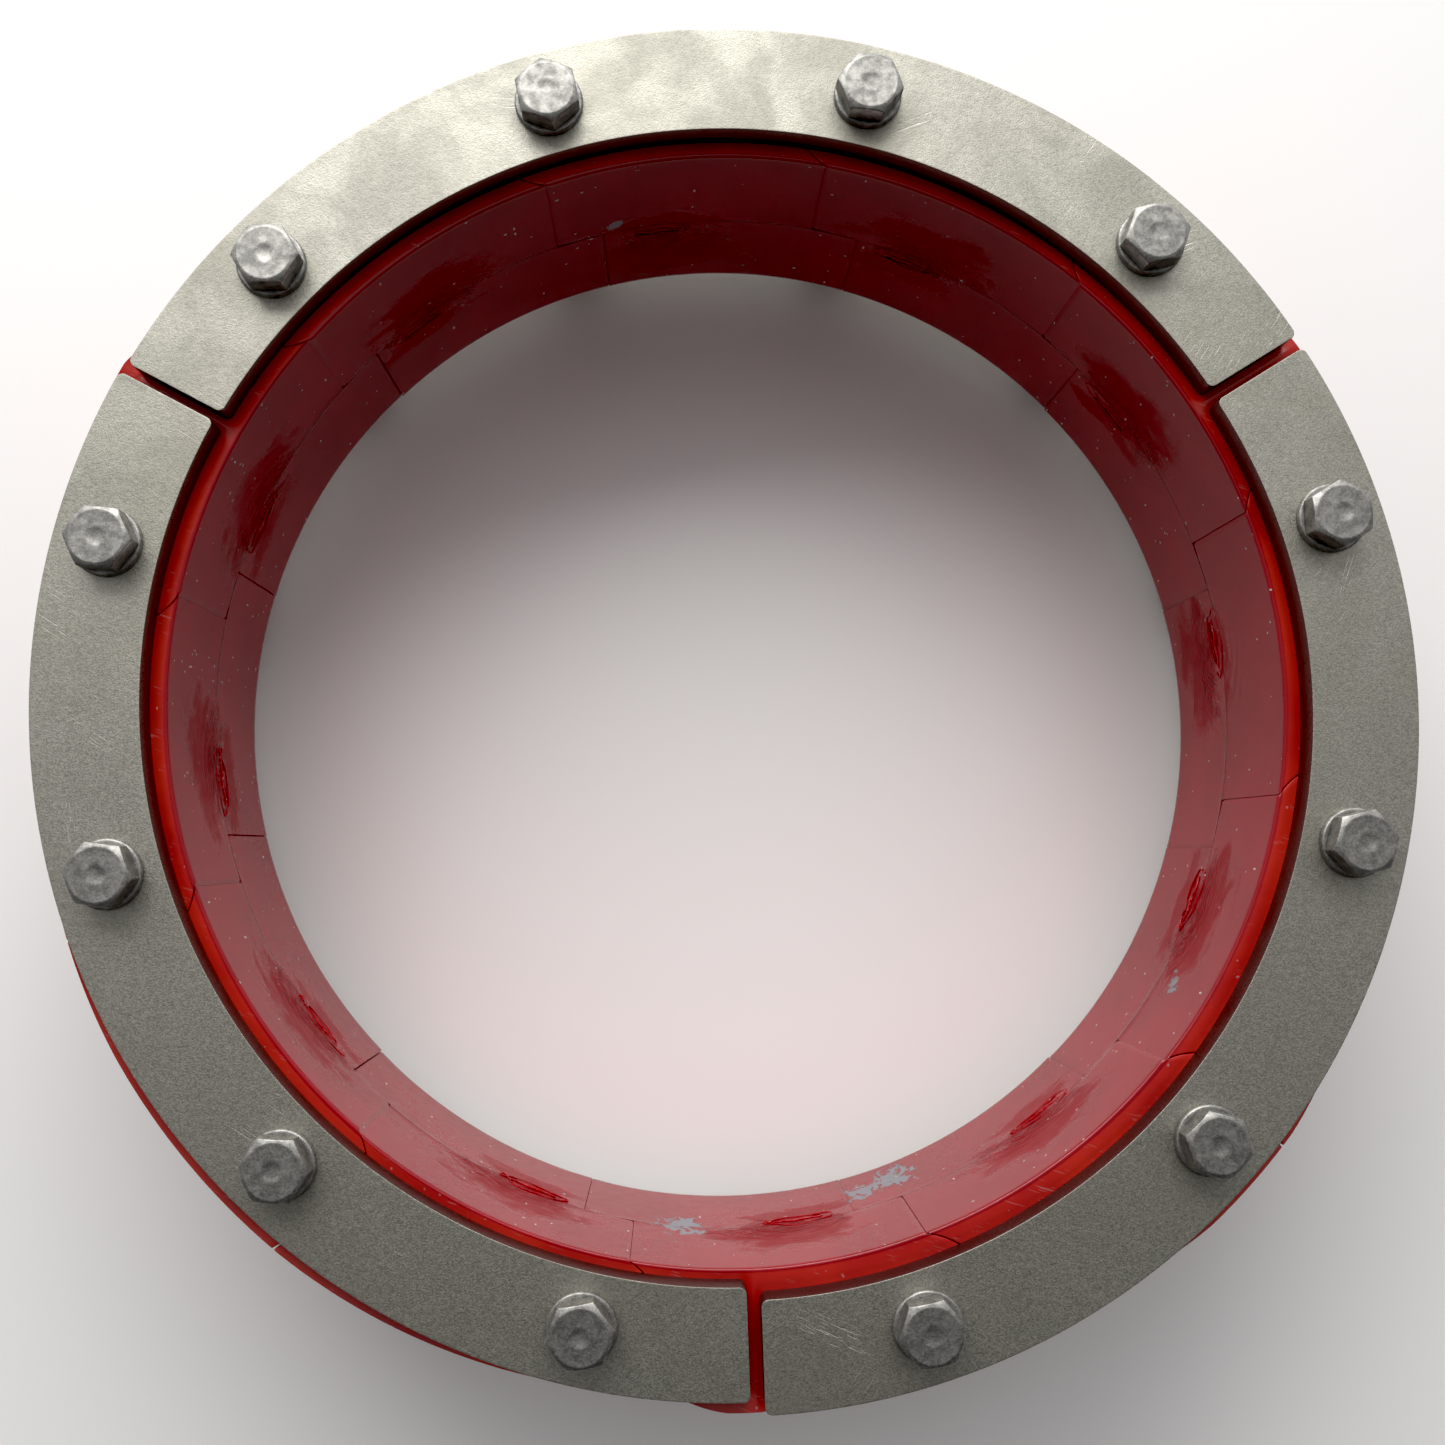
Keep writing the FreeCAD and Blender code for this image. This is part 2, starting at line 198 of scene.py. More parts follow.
def band_faces(count, around, closed=False):
    """Quads between neighbouring rings, and from the last ring back to the first if closed."""
    here = np.arange(around)
    after = np.roll(here, -1)
    faces = []
    for ring in range(count if closed else count - 1):
        low, high = ring * around, (ring + 1) % count * around
        faces += np.stack([low + here, low + after, high + after, high + here], 1).tolist()
    return faces


def skin(rings, closed=False):
    """Vertices and faces through rings of points: a closed tube, or a skin with a fan at each end."""
    rings = np.asarray(rings, float)
    count, around = rings.shape[:2]
    faces = band_faces(count, around, closed)
    vertices = rings.reshape(-1, 3)
    if not closed:
        here = np.arange(around)
        after = np.roll(here, -1)
        first, last = len(vertices), len(vertices) + 1
        vertices = np.concatenate([vertices, [rings[0].mean(0)], [rings[-1].mean(0)]])
        end = (count - 1) * around
        faces += [(first, b, a) for a, b in zip(here, after)]
        faces += [(last, end + a, end + b) for a, b in zip(here, after)]
    return vertices, faces


def ring_at(angles, radius, height, centre=(0, 0)):
    radius = np.broadcast_to(radius, angles.shape)
    height = np.broadcast_to(height, angles.shape)
    return np.stack([centre[0] + radius * np.cos(angles), centre[1] + radius * np.sin(angles), height], 1)


def turned_and_placed(points, turn, centre, base):
    """Points turned about the Z axis, then moved to a centre and raised by base."""
    x, y, z = points.T
    return np.stack([x * math.cos(turn) - y * math.sin(turn) + centre[0],
                     x * math.sin(turn) + y * math.cos(turn) + centre[1], z + base], 1)


def join_meshes(parts):
    """One list of vertices and one of faces from several."""
    vertices, faces, start = [], [], 0
    for part_vertices, part_faces in parts:
        vertices.append(np.asarray(part_vertices, float))
        faces += [[start + int(index) for index in face] for face in part_faces]
        start += len(part_vertices)
    return np.concatenate(vertices), faces


# ---------------------------------------------------------------- pressure plates


def plate_end(inset, gap):
    """A plate's clockwise end from its outer to its inner corner, with the third's edge lying along +X."""
    reach = gap + PLATE_CORNER
    bend = PLATE_CORNER - inset

    def corner(distance, outer):
        centre = np.array([math.sqrt(distance ** 2 - reach ** 2), reach])
        radial = math.atan2(centre[1], centre[0])
        start, stop = (radial, -math.pi / 2) if outer else (-math.pi / 2, radial - math.pi)
        turn = np.linspace(start, stop, 9)
        return centre + bend * np.stack([np.cos(turn), np.sin(turn)], 1)

    outer_corner = corner(PLATE_OUTER - PLATE_CORNER, True)
    inner_corner = corner(PLATE_INNER + PLATE_CORNER, False)
    share = np.linspace(0, 1, 14)[1:-1, None]
    straight = outer_corner[-1] + (inner_corner[0] - outer_corner[-1]) * share
    return np.concatenate([outer_corner, straight, inner_corner])


def plate_outline(inset, gaps):
    """The plate's outline, drawn in by inset, with the third's clockwise edge lying along +X."""
    first_end = plate_end(inset, gaps[0])
    flipped = (plate_end(inset, gaps[1]) * (1, -1))[::-1]
    turn = np.array([[math.cos(SEGMENT_ANGLE), math.sin(SEGMENT_ANGLE)],
                     [-math.sin(SEGMENT_ANGLE), math.cos(SEGMENT_ANGLE)]])
    second_end = flipped @ turn

    def arc_between(start, stop, radius):
        low, high = math.atan2(start[1], start[0]), math.atan2(stop[1], stop[0])
        angles = np.linspace(low, high, ARC_POINTS + 2)[1:-1]
        return radius * np.stack([np.cos(angles), np.sin(angles)], 1)

    inner_arc = arc_between(first_end[-1], second_end[0], PLATE_INNER + inset)
    outer_arc = arc_between(second_end[-1], first_end[0], PLATE_OUTER - inset)
    return np.concatenate([first_end, inner_arc, second_end, outer_arc])


def rounded_side(outline, low, high, rounding, steps=5):
    """Rings of an outline from its lower to its upper face with rounded edges; outline(inset) gives each."""
    rings = []
    turns = np.linspace(0, math.pi / 2, steps)
    for turn in turns:
        rings.append((outline(rounding * (1 - math.sin(turn))), low + rounding * (1 - math.cos(turn))))
    for height in np.linspace(low + rounding, high - rounding, 5)[1:-1]:
        rings.append((outline(0), height))
    for turn in turns[::-1]:
        rings.append((outline(rounding * (1 - math.sin(turn))), high - rounding * (1 - math.cos(turn))))
    support = outline(rounding + SUPPORT)
    rings = [(support, low)] + rings + [(support, high)]
    return np.array([np.column_stack([points, np.full(len(points), height)]) for points, height in rings])


def make_plate(name, segment, low, high):
    """An arc-shaped plate with rounded edges and four screw holes."""
    start = PITCH + SEGMENT_ANGLE * (segment - 1)
    turn = np.array([[math.cos(start), math.sin(start)], [-math.sin(start), math.cos(start)]])
    shift = SHIFTS[segment]
    gaps = PLATE_GAPS[segment]
    walls = [rounded_side(lambda inset: plate_outline(inset, gaps) @ turn + shift, low, high, PLATE_EDGE)]
    around = np.linspace(0, 2 * math.pi, 48, endpoint=False)
    for screw in range(4 * segment - 3, 4 * segment + 1):
        centre = centre_of(f"washer_{screw:02d}")[:2]

        def hole(inset):
            return centre + (HOLE_RADIUS + inset) * np.stack([np.cos(around), np.sin(around)], 1)

        walls.append(rounded_side(hole, low, high, HOLE_EDGE))
    parts, lower_loops, upper_loops, start_index = [], [], [], 0
    for wall in walls:
        count, size = wall.shape[:2]
        parts.append((wall.reshape(-1, 3), band_faces(count, size)))
        lower_loops.append(start_index + np.arange(size))
        upper_loops.append(start_index + (count - 1) * size + np.arange(size))
        start_index += count * size
    vertices, faces = join_meshes(parts)
    for loops in (lower_loops, upper_loops):
        index = np.concatenate(loops)
        triangles = tessellate_polygon([[Vector(vertices[i]) for i in loop] for loop in loops])
        faces += [[int(index[i]) for i in triangle] for triangle in triangles]
    return make_object(name, vertices, faces)


# ---------------------------------------------------------------- elastomer links

LAP_RADIUS = 20.7
LAP_GAP = 0.34
LAP_SEAM = 0.14
LAP_CELLS = 12
SHARED_CELLS = 78
LEVEL_STEP = 1.0
# distances of the grid's layers from the bore wall; one more lies on the outside
LAYERS = (0, 1, 2.1, 3.3, 4.6, 6.2, 8.6, 11.6, 14.8, 18.2, 21.6, 24.8, 27.6, 30.2, 32.2, 33.8, 35.2)
# the widest bevel, and the share of it that each kind of edge gets
BEVEL = 1.2
BORE_EDGE = 0.6
LAP_EDGE = 0.3
OTHER_EDGE = 0.1
SWELL_HEIGHT = 0.85
# where the melt entered each link: how far round from its middle, and at what height
GATE_ANGLE = math.radians(6)
GATE_HEIGHT = -4.5
# links that lie under two plates, and links whose fan lies behind the gate
STRADDLING = (1, 5, 9)
REAR_FANS = (3, 12)
# value of the flow attribute's last part where a face is neither on the bore wall nor on a flat face
HIDDEN = 0.6
# places where the elastomer stands out past the ring: angle and half width in degrees, and how far
BULGES = ((219, 34, 2.5), (315, 16, 3.8), (26, 9, 1.1), (269, 4.5, 2.1), (150.5, 4, 3.0), (157, 22, 1.5))
RIM_RISE = 0.6


def lap_angle(radius, reach):
    """Angle between a screw and the arc of radius reach about it, at a radius of the ring."""
    squares = SCREW_CIRCLE ** 2 + radius ** 2 - reach ** 2
    return np.arccos(squares / (2 * SCREW_CIRCLE * radius))


def plate_distance(x, y):
    """How far points are outside the nearest plate's outline."""
    nearest = np.full(x.shape, np.inf)
    for segment in SEGMENTS:
        dx, dy = x - SHIFTS[segment][0], y - SHIFTS[segment][1]
        radius = np.hypot(dx, dy)
        middle = SEGMENT_ANGLE * segment - PITCH
        turned = (np.arctan2(dy, dx) - middle + math.pi) % (2 * math.pi) - math.pi
        across = np.abs(radius - (PLATE_INNER + PLATE_OUTER) / 2) - (PLATE_OUTER - PLATE_INNER) / 2
        gap = np.where(turned < 0, *PLATE_GAPS[segment])
        beyond = gap - radius * np.sin(SEGMENT_ANGLE / 2 - np.abs(turned))
        outside = np.hypot(np.maximum(across + PLATE_CORNER, 0), np.maximum(beyond + PLATE_CORNER, 0))
        inside = np.minimum(np.maximum(across, beyond) + PLATE_CORNER, 0)
        nearest = np.minimum(nearest, outside + inside - PLATE_CORNER)
    return nearest


def swell(x, y):
    """Height of the elastomer squeezed out where no plate holds it."""
    return SWELL_HEIGHT * (1 - np.exp(-np.maximum(plate_distance(x, y) - 0.1, 0) / 1.6))


def flare(angle):
    """How far the squeezed elastomer stands out past the ring's nominal outside, at angles round it."""
    turned = np.degrees(angle) % 360
    total = np.zeros(np.shape(angle))
    for middle, width, most in BULGES:
        off = np.abs((turned - middle + 180) % 360 - 180) / width
        total = np.maximum(total, most * np.clip(1.1 - 1.1 * off ** 2, 0, 1))
    return total


def flow_relief(along, above_gate):
    """Height of the moulding's flow ripples on the bore wall, at a distance along and above the gate."""
    reach = np.hypot((along - 3) / 1.6, above_gate)
    spread = np.degrees(np.arctan2(above_gate, 3 - along))
    fan = np.exp(-((spread - 42) / 30) ** 2) * np.exp(-((reach - 13) / 8) ** 2)
    return 0.13 * fan * np.sin(reach * 1.7 + 0.5 * np.sin(along * 0.35)) - 0.15 * np.exp(-(reach / 7) ** 2)


def wedge(distance, reach):
    """Share of a worn corner's depth at a distance from it, from 1 down to 0 at reach."""
    return np.clip(1 - distance / reach, 0, 1) ** 1.5


def link_grid(number):
    """The link's grid of points, with lugs and seats at its two ends, and which of its cells are solid."""
    middle = PITCH * number
    radii = np.append(BORE_RADIUS + np.array(LAYERS), RING_RADIUS)
    levels = np.linspace(-HALF_DEPTH, HALF_DEPTH, 2 * round(HALF_DEPTH / LEVEL_STEP) + 1)
    lug, seat = lap_angle(radii, LAP_RADIUS), lap_angle(radii, LAP_RADIUS + LAP_GAP)
    before, after = middle - PITCH / 2, middle + PITCH / 2
    share = np.linspace(0, 1, LAP_CELLS + 1)[:, None]
    rear_end = before - lug + (lug + seat) * share
    front_end = after - seat + (lug + seat) * share
    share = np.linspace(0, 1, SHARED_CELLS + 1)[1:-1, None]
    shared = rear_end[-1] + (front_end[0] - rear_end[-1]) * share
    angles = np.concatenate([rear_end, shared, front_end])
    stations, rings, tiers = len(angles), len(radii), len(levels)
    angle = np.broadcast_to(angles[:, :, None], (stations, rings, tiers)).copy()
    radius = np.broadcast_to(radii[None, :, None], angle.shape).copy()
    height = np.broadcast_to(levels[None, None, :], angle.shape).copy()
    zero = tiers // 2
    # the laps stand a little apart, and each lug's corner is worn away to a wedge-shaped notch
    from_front_end = (angles[-1] - angles[-LAP_CELLS - 1:]) * BORE_RADIUS
    from_rear_end = (angles[:LAP_CELLS + 1] - angles[0]) * BORE_RADIUS
    height[-LAP_CELLS - 1:, :, zero] += LAP_SEAM + 1.3 * wedge(from_front_end, 5.5)
    height[:LAP_CELLS + 1, :, zero] -= LAP_SEAM + 0.5 * wedge(from_rear_end, 2.5)
    above, below = levels - LAP_SEAM, -levels - LAP_SEAM
    angle[0, :, :] += 1.1 * wedge(np.maximum(below, 0), 4.2) * (below > -0.5) / BORE_RADIUS
    angle[-1, :, :] -= 0.45 * wedge(np.maximum(above, 0), 2.5) * (above > -0.5) / BORE_RADIUS
    along = (angle - middle - GATE_ANGLE) * BORE_RADIUS
    from_gate = height - GATE_HEIGHT
    wall = np.zeros(angle.shape)
    wall[:, 0, :] = 1
    radius -= wall * flow_relief(along, from_gate)
    # each half stands a little proud of its neighbour at one end and shy at the other
    lean = 0.16 * math.sin(2.1 * number) + 0.0045 * along
    proud = np.where(height > 0, lean + 0.08, lean * 0.7 - 0.06)
    radius -= wall * proud * np.clip(np.abs(height) / 1.5, 0, 1)
    radius[:, -1, :] += flare(angle[:, -1, :])
    x, y = radius * np.cos(angle), radius * np.sin(angle)
    lift = swell(x, y)
    lift[:, -1, :] += RIM_RISE * flare(angle[:, -1, :])
    height[:, :, -1] += lift[:, :, -1]
    height[:, :, 0] -= lift[:, :, 0]
    solid = np.zeros((stations - 1, rings - 1, tiers - 1), bool)
    solid[:-LAP_CELLS, :, :zero] = True
    solid[LAP_CELLS:, :, zero:] = True
    return np.stack([x, y, height], -1), solid


def mark_flow(piece, number):
    """Store on each vertex how far along and up the wall from the gate it is, and what it lies on.

    The last value is 1 on the bore wall, 0 on the two flat faces and HIDDEN in the laps and on the outside.
    """
    points = np.array([vertex.co for vertex in piece.data.vertices]) / MM
    turned = np.arctan2(points[:, 1], points[:, 0]) - PITCH * number
    turned = (turned + math.pi) % (2 * math.pi) - math.pi
    off_bore = np.hypot(points[:, 0], points[:, 1]) - BORE_RADIUS
    on_face = np.abs(points[:, 2]) > HALF_DEPTH - 0.4
    wall = np.clip(1.4 - off_bore, np.where(on_face, 0, HIDDEN), 1)
    side = -1 if number in REAR_FANS else 1
    flow = np.stack([(turned - GATE_ANGLE) * BORE_RADIUS, side * (points[:, 2] - GATE_HEIGHT), wall], 1)
    attribute = piece.data.attributes.new("flow", "FLOAT_VECTOR", "POINT")
    attribute.data.foreach_set("vector", flow.astype(np.float32).ravel())


def boundary_faces(solid):
    """Corner indices of the quads round the solid cells of a grid."""
    shape = np.array(solid.shape) + 1
    index = np.arange(shape.prod()).reshape(shape)
    padded = np.pad(solid, 1)
    quads = []
    for axis in range(3):
        changed = np.diff(padded.astype(np.int8), axis=axis)
        window = [slice(1, -1)] * 3
        window[axis] = slice(None)
        changed = changed[tuple(window)]
        one, two = [other for other in range(3) if other != axis]
        where = np.argwhere(changed != 0)
        step_one, step_two = np.zeros(3, int), np.zeros(3, int)
        step_one[one] = 1
        step_two[two] = 1
        ring = [where, where + step_one, where + step_one + step_two, where + step_two]
        quads.append(np.stack([index[tuple(corner.T)] for corner in ring], 1))
    return np.concatenate(quads)


def edge_rounding(piece, cut_angle):
    """Give each convex edge its share of the widest bevel; the cut between two half links stays sharp."""
    work = bmesh.new()
    work.from_mesh(piece.data)
    weight = work.edges.layers.float.new("bevel_weight_edge")
    for edge in work.edges:
        if len(edge.link_faces) != 2 or edge.calc_face_angle() < math.radians(40) or not edge.is_convex:
            continue
        ends = [vertex.co / MM for vertex in edge.verts]
        if cut_angle is not None:
            off = [abs(end.x * math.sin(cut_angle) - end.y * math.cos(cut_angle)) for end in ends]
            if max(off) < 1e-3:
                continue
        radii = [math.hypot(end.x, end.y) for end in ends]
        at_face = min(abs(end.z) for end in ends) > HALF_DEPTH - 0.01
        at_lap = max(abs(end.z) for end in ends) < 0.1
        at_bore = max(radii) < BORE_RADIUS + 0.5
        across = abs(radii[0] - radii[1]) > 0.5
        if at_lap and across:
            edge[weight] = LAP_EDGE
        elif at_face and at_bore:
            edge[weight] = BORE_EDGE
        else:
            edge[weight] = OTHER_EDGE
    work.to_mesh(piece.data)
    work.free()


def tilted_box(centre, angle, half, turn=0.0):
    """A box with its first axis along the ring, its second radial and its third along Z."""
    along = np.array([-math.sin(angle), math.cos(angle), 0])
    outward = np.array([math.cos(angle), math.sin(angle), 0])
    up = np.array([0, 0, 1.0])
    along, up = (along * math.cos(turn) + up * math.sin(turn), up * math.cos(turn) - along * math.sin(turn))
    signs = np.array([(i, j, k) for i in (-1, 1) for j in (-1, 1) for k in (-1, 1)])
    vertices = centre + (signs * half) @ np.array([along, outward, up])
    faces = [(0, 1, 3, 2), (4, 6, 7, 5), (0, 4, 5, 1), (2, 3, 7, 6), (0, 2, 6, 4), (1, 5, 7, 3)]
    return vertices, faces


def rod(centre, radius, low, high, count=40):
    around = np.linspace(0, 2 * math.pi, count, endpoint=False)
    return skin([ring_at(around, radius, low, centre), ring_at(around, radius, high, centre)])


def wall_tube(number, path, thickness, closed=False):
    """A thin tube half sunk in the bore wall; path gives (distance along, height over gate, thickness)."""
    path = np.asarray(path, float)
    angle = PITCH * number + GATE_ANGLE + path[:, 0] / BORE_RADIUS
    radius = BORE_RADIUS - flow_relief(path[:, 0], path[:, 1]) * 0.5
    ahead = np.roll(path, -1, 0) - np.roll(path, 1, 0)
    if not closed:
        ahead[0], ahead[-1] = path[1] - path[0], path[-1] - path[-2]
    heading = np.arctan2(ahead[:, 1], ahead[:, 0])
    rings = []
    for turn, middle_radius, (_, above_gate, share), way in zip(angle, radius, path, heading):
        around = np.linspace(0, 2 * math.pi, 10, endpoint=False)
        sideways, inwards = thickness * share * np.cos(around), thickness * share * np.sin(around)
        outward = np.array([math.cos(turn), math.sin(turn), 0])
        tangent = np.array([-math.sin(turn), math.cos(turn), 0])
        side = -tangent * math.sin(way) + np.array([0, 0, 1]) * math.cos(way)
        centre = outward * middle_radius + np.array([0, 0, above_gate + GATE_HEIGHT])
        rings.append(centre + sideways[:, None] * side - inwards[:, None] * outward)
    return skin(rings, closed)


def gate_parts(number):
    """The cutter for the gate's slit, and the lip, curl and outline of flash that stand round it."""
    angle = PITCH * number + GATE_ANGLE
    wave = math.sin(2.4 * number)
    place = np.array([BORE_RADIUS * math.cos(angle), BORE_RADIUS * math.sin(angle), GATE_HEIGHT - 0.9])
    slit = tilted_box(place, angle, (7.2, 1.3, 0.6), 0.03 * wave)
    run = np.linspace(-8, 8, 26)
    lip = np.stack([run, 0.75 + 0.28 * np.sin(run * 0.8 + number), 0.45 + 0.55 * np.cos(run / 5.6) ** 2], 1)
    turn = np.linspace(0, 2 * math.pi, 60, endpoint=False)
    wander = 1 + 0.10 * np.sin(3 * turn + number) + 0.06 * np.sin(5 * turn + 2 * number)
    outline = np.stack([1.0 + 10.0 * np.cos(turn) * wander, 1.2 + 4.4 * np.sin(turn) * wander,
                        1 + 0.3 * np.sin(4 * turn)], 1)
    curl = np.stack([-10.0 + 0.5 * wave + 1.1 * np.cos(turn[::4]), 0.2 + 1.2 * np.sin(turn[::4]),
                     np.ones(15)], 1)
    flash = [wall_tube(number, lip, 0.5), wall_tube(number, outline, 0.22, True),
             wall_tube(number, curl, 0.3, True)]
    return slit, flash


def make_link(number):
    """One link, or the two halves of a link that lies under two plates."""
    points, solid = link_grid(number)
    screws = (number - 1 or 12, number)
    middle = solid.shape[0] // 2
    split = number in STRADDLING
    for half, ending in (((0, "_a"), (1, "_b")) if split else ((None, ""),)):
        cells = solid.copy()
        if half == 0:
            cells[middle:] = False
        elif half == 1:
            cells[:middle] = False
        name = f"seal_link_{number:02d}_shown{ending}"
        quads = boundary_faces(cells)
        used, quads = np.unique(quads, return_inverse=True)
        quads = quads.reshape(-1, 4)
        piece = make_object(name, points.reshape(-1, 3)[used], quads)
        edge_rounding(piece, PITCH * number if split else None)
        bevel = piece.modifiers.new("rounding", "BEVEL")
        bevel.limit_method = "WEIGHT"
        bevel.width = BEVEL * MM
        bevel.segments = 3
        bevel.use_clamp_overlap = False
        apply_modifiers(piece)
        holes = [rod(centre_of(f"washer_{screw:02d}")[:2], HOLE_RADIUS, -HALF_DEPTH - 5, HALF_DEPTH + 5)
                 for side, screw in enumerate(screws) if half in (None, side)]
        with_gate = half in (None, 1)
        slit, flash = gate_parts(number)
        cuts = make_object("cuts", *join_meshes(holes + ([slit] if with_gate else [])))
        adds = make_object("adds", *join_meshes(flash)) if with_gate else None
        if adds:
            thin = adds.data.attributes.new("flash", "FLOAT", "POINT")
            thin.data.foreach_set("value", np.ones(len(adds.data.vertices), np.float32))
        for operation, tool in (("UNION", adds), ("DIFFERENCE", cuts)):
            if tool:
                boolean = piece.modifiers.new(operation, "BOOLEAN")
                boolean.operation = operation
                boolean.solver = "MANIFOLD"
                boolean.object = tool
                apply_modifiers(piece)
                bpy.data.objects.remove(tool)
        mark_flow(piece, number)
        piece.data.shade_smooth()
        piece.data.set_sharp_from_angle(angle=math.radians(38))
        finish_piece(piece, "rear_frame", f"seal_link_{number:02d}", "seal_rubber")
        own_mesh(piece)


# ---------------------------------------------------------------- screws, nuts and washers

# half the width across a hexagon's flats, and the rounding of its corners
FLAT = 8.5
HEX_ROUNDING = 0.45
BEVEL_SLOPE = math.tan(math.radians(30))
HEAD_FACE = 8.1
NUT_FACE = 8.15
THREAD_PITCH = 1.5
THREAD_DEPTH = 0.9
THREAD_START = 74.0
SHANK_RADIUS = 4.97
NUT_BORE = 5.06
WASHER_BORE = 5.25
WASHER_ROLL = 0.8
# the forged face from its dimple outwards: radius, and height over the rim
HEAD_PROFILE = ((0.5, -0.34), (1.2, -0.31), (1.9, -0.2), (2.5, -0.06), (3.0, 0.0), (3.5, -0.02), (5.0, -0.04),
                (6.4, -0.04), (7.0, -0.02), (7.35, 0.0), (7.6, 0.0), (7.85, -0.06), (8.02, -0.15))


def hexagon_angles():
    """Angles round a hexagon, close together at its rounded corners."""
    steps = np.array([0, 0.7, 1.4, 2.6, 6, 10, 15, 20, 25, 30])
    sector = np.concatenate([steps, 60 - steps[-2:0:-1]])
    return np.radians(np.concatenate([sector + 60 * k for k in range(6)]))


HEX_ANGLES = hexagon_angles()


def hexagon_radius(angles):
    """Distance from the axis to the side of a hexagon with rounded corners, the first of them at angle 0."""
    off = np.abs((angles + math.pi / 6) % (math.pi / 3) - math.pi / 6)
    side = FLAT / np.cos(math.pi / 6 - off)
    hub = (FLAT - HEX_ROUNDING) / math.cos(math.pi / 6)
    tangent = math.atan2(HEX_ROUNDING / 2, hub + HEX_ROUNDING * math.cos(math.pi / 6))
    inner = np.maximum(HEX_ROUNDING ** 2 - (hub * np.sin(off)) ** 2, 0)
    return np.where(off < tangent, hub * np.cos(off) + np.sqrt(inner), side)


def head_rings(height):
    """Rings of a bevelled hexagon head, from the middle of its face to its underside."""
    side = hexagon_radius(HEX_ANGLES)
    rings = [ring_at(HEX_ANGLES, radius, height + rise) for radius, rise in HEAD_PROFILE]
    start, drop = HEAD_FACE + 0.08, 0.13
    for share in (0.12, 0.55, 0.9):
        radius = start + (side - 0.12 - start) * share
        rings.append(ring_at(HEX_ANGLES, radius, height - (radius - HEAD_FACE) * BEVEL_SLOPE - drop))
    edge = height - (side - HEAD_FACE) * BEVEL_SLOPE - drop
    for radius, level in ((side - 0.05, edge - 0.02), (side, edge - 0.14), (side, edge * 0.5), (side, 0.35),
                          (side - 0.12, 0.1), (side - 0.45, 0.0), (6.0, 0.0)):
        rings.append(ring_at(HEX_ANGLES, radius, level))
    return rings


def thread_radius(angles, height):
    """Radius of a right-handed M10 thread at each angle of a ring."""
    phase = (height / THREAD_PITCH - angles / (2 * math.pi)) % 1
    cut = np.clip((np.abs(2 * phase - 1) - 0.12) / 0.66, 0, 1)
    return SHANK_RADIUS - THREAD_DEPTH * cut


def make_screw(name, number):
    """Hexagon screw: forged head, plain shank and a threaded end."""
    low, high = corners(name)
    base = corners(f"washer_{number:02d}")[1][2]
    centre = centre_of(f"washer_{number:02d}")[:2]
    length = base - low[2]
    rings = head_rings(high[2] - base)
    for radius, depth in ((5.7, 0.0), (5.25, 0.12), (5.02, 0.5), (SHANK_RADIUS, 1.2)):
        rings.append(ring_at(HEX_ANGLES, radius, -depth))
    for depth in np.linspace(4, THREAD_START - 2, 8):
        rings.append(ring_at(HEX_ANGLES, SHANK_RADIUS, -depth))
    for depth in np.arange(THREAD_START, length - 0.1, 0.25):
        runout = min((depth - THREAD_START) / 3, 1)
        radius = SHANK_RADIUS + (thread_radius(HEX_ANGLES, -depth) - SHANK_RADIUS) * runout
        rings.append(ring_at(HEX_ANGLES, np.minimum(radius, 3.75 + (length - depth)), -depth))
    for radius, rise in ((3.7, 0.02), (3.3, 0.0), (2.0, 0.05), (0.7, 0.12)):
        rings.append(ring_at(HEX_ANGLES, radius, rise - length))
    vertices, faces = skin(rings)
    vertices = turned_and_placed(vertices, corner_turn(name), centre, base)
    return make_object(name + "_shown", vertices, faces, sharp_degrees=50)


def make_nut(name):
    """Hexagon nut, its lower face bevelled, its upper corners broken and its bore opened at each end."""
    low, high = corners(name)
    height = high[2] - low[2]
    side = hexagon_radius(HEX_ANGLES)
    rise = np.maximum(side - NUT_FACE, 0) * BEVEL_SLOPE
    profile = ((NUT_BORE, 1.0), (NUT_BORE + 0.12, 0.75), (NUT_BORE + 0.72, 0.08), (NUT_BORE + 0.95, 0.0),
               (7.85, 0.0), (8.1, 0.05), (side - 0.1, rise + 0.03), (side, rise + 0.2), (side, height / 2),
               (side, height - 0.3), (side - 0.12, height - 0.08), (side - 0.4, height),
               (NUT_BORE + 0.9, height), (NUT_BORE + 0.7, height - 0.08), (NUT_BORE + 0.1, height - 0.75),
               (NUT_BORE, height - 1.0))
    vertices, faces = skin([ring_at(HEX_ANGLES, radius, level) for radius, level in profile], closed=True)
    vertices = turned_and_placed(vertices, corner_turn(name), centre_of(name), low[2])
    return make_object(name + "_shown", vertices, faces, sharp_degrees=50)


def make_washer(name):
    """Stamped washer: its upper rim rolled over, its lower rim nearly sharp."""
    low, high = corners(name)
    centre = centre_of(name)[:2]
    outer = (high[0] - low[0]) / 2
    bottom, top = low[2], high[2]
    around = np.linspace(0, 2 * math.pi, 96, endpoint=False)
    profile = [(WASHER_BORE, top - 0.25), (WASHER_BORE + 0.08, top - 0.08), (WASHER_BORE + 0.25, top),
               (outer - 1.1, top)]
    for turn in np.linspace(0.15, 1, 6) * math.pi / 2:
        profile.append((outer - WASHER_ROLL * (1 - math.sin(turn)), top - WASHER_ROLL * (1 - math.cos(turn))))
    profile += [(outer, bottom + 0.25), (outer - 0.08, bottom + 0.08), (outer - 0.25, bottom),
                (WASHER_BORE + 0.25, bottom), (WASHER_BORE + 0.08, bottom + 0.08),
                (WASHER_BORE, bottom + 0.25)]
    rings = [ring_at(around, radius, height, centre) for radius, height in profile]
    vertices, faces = skin(rings, closed=True)
    return make_object(name + "_shown", vertices, faces, sharp_degrees=50)


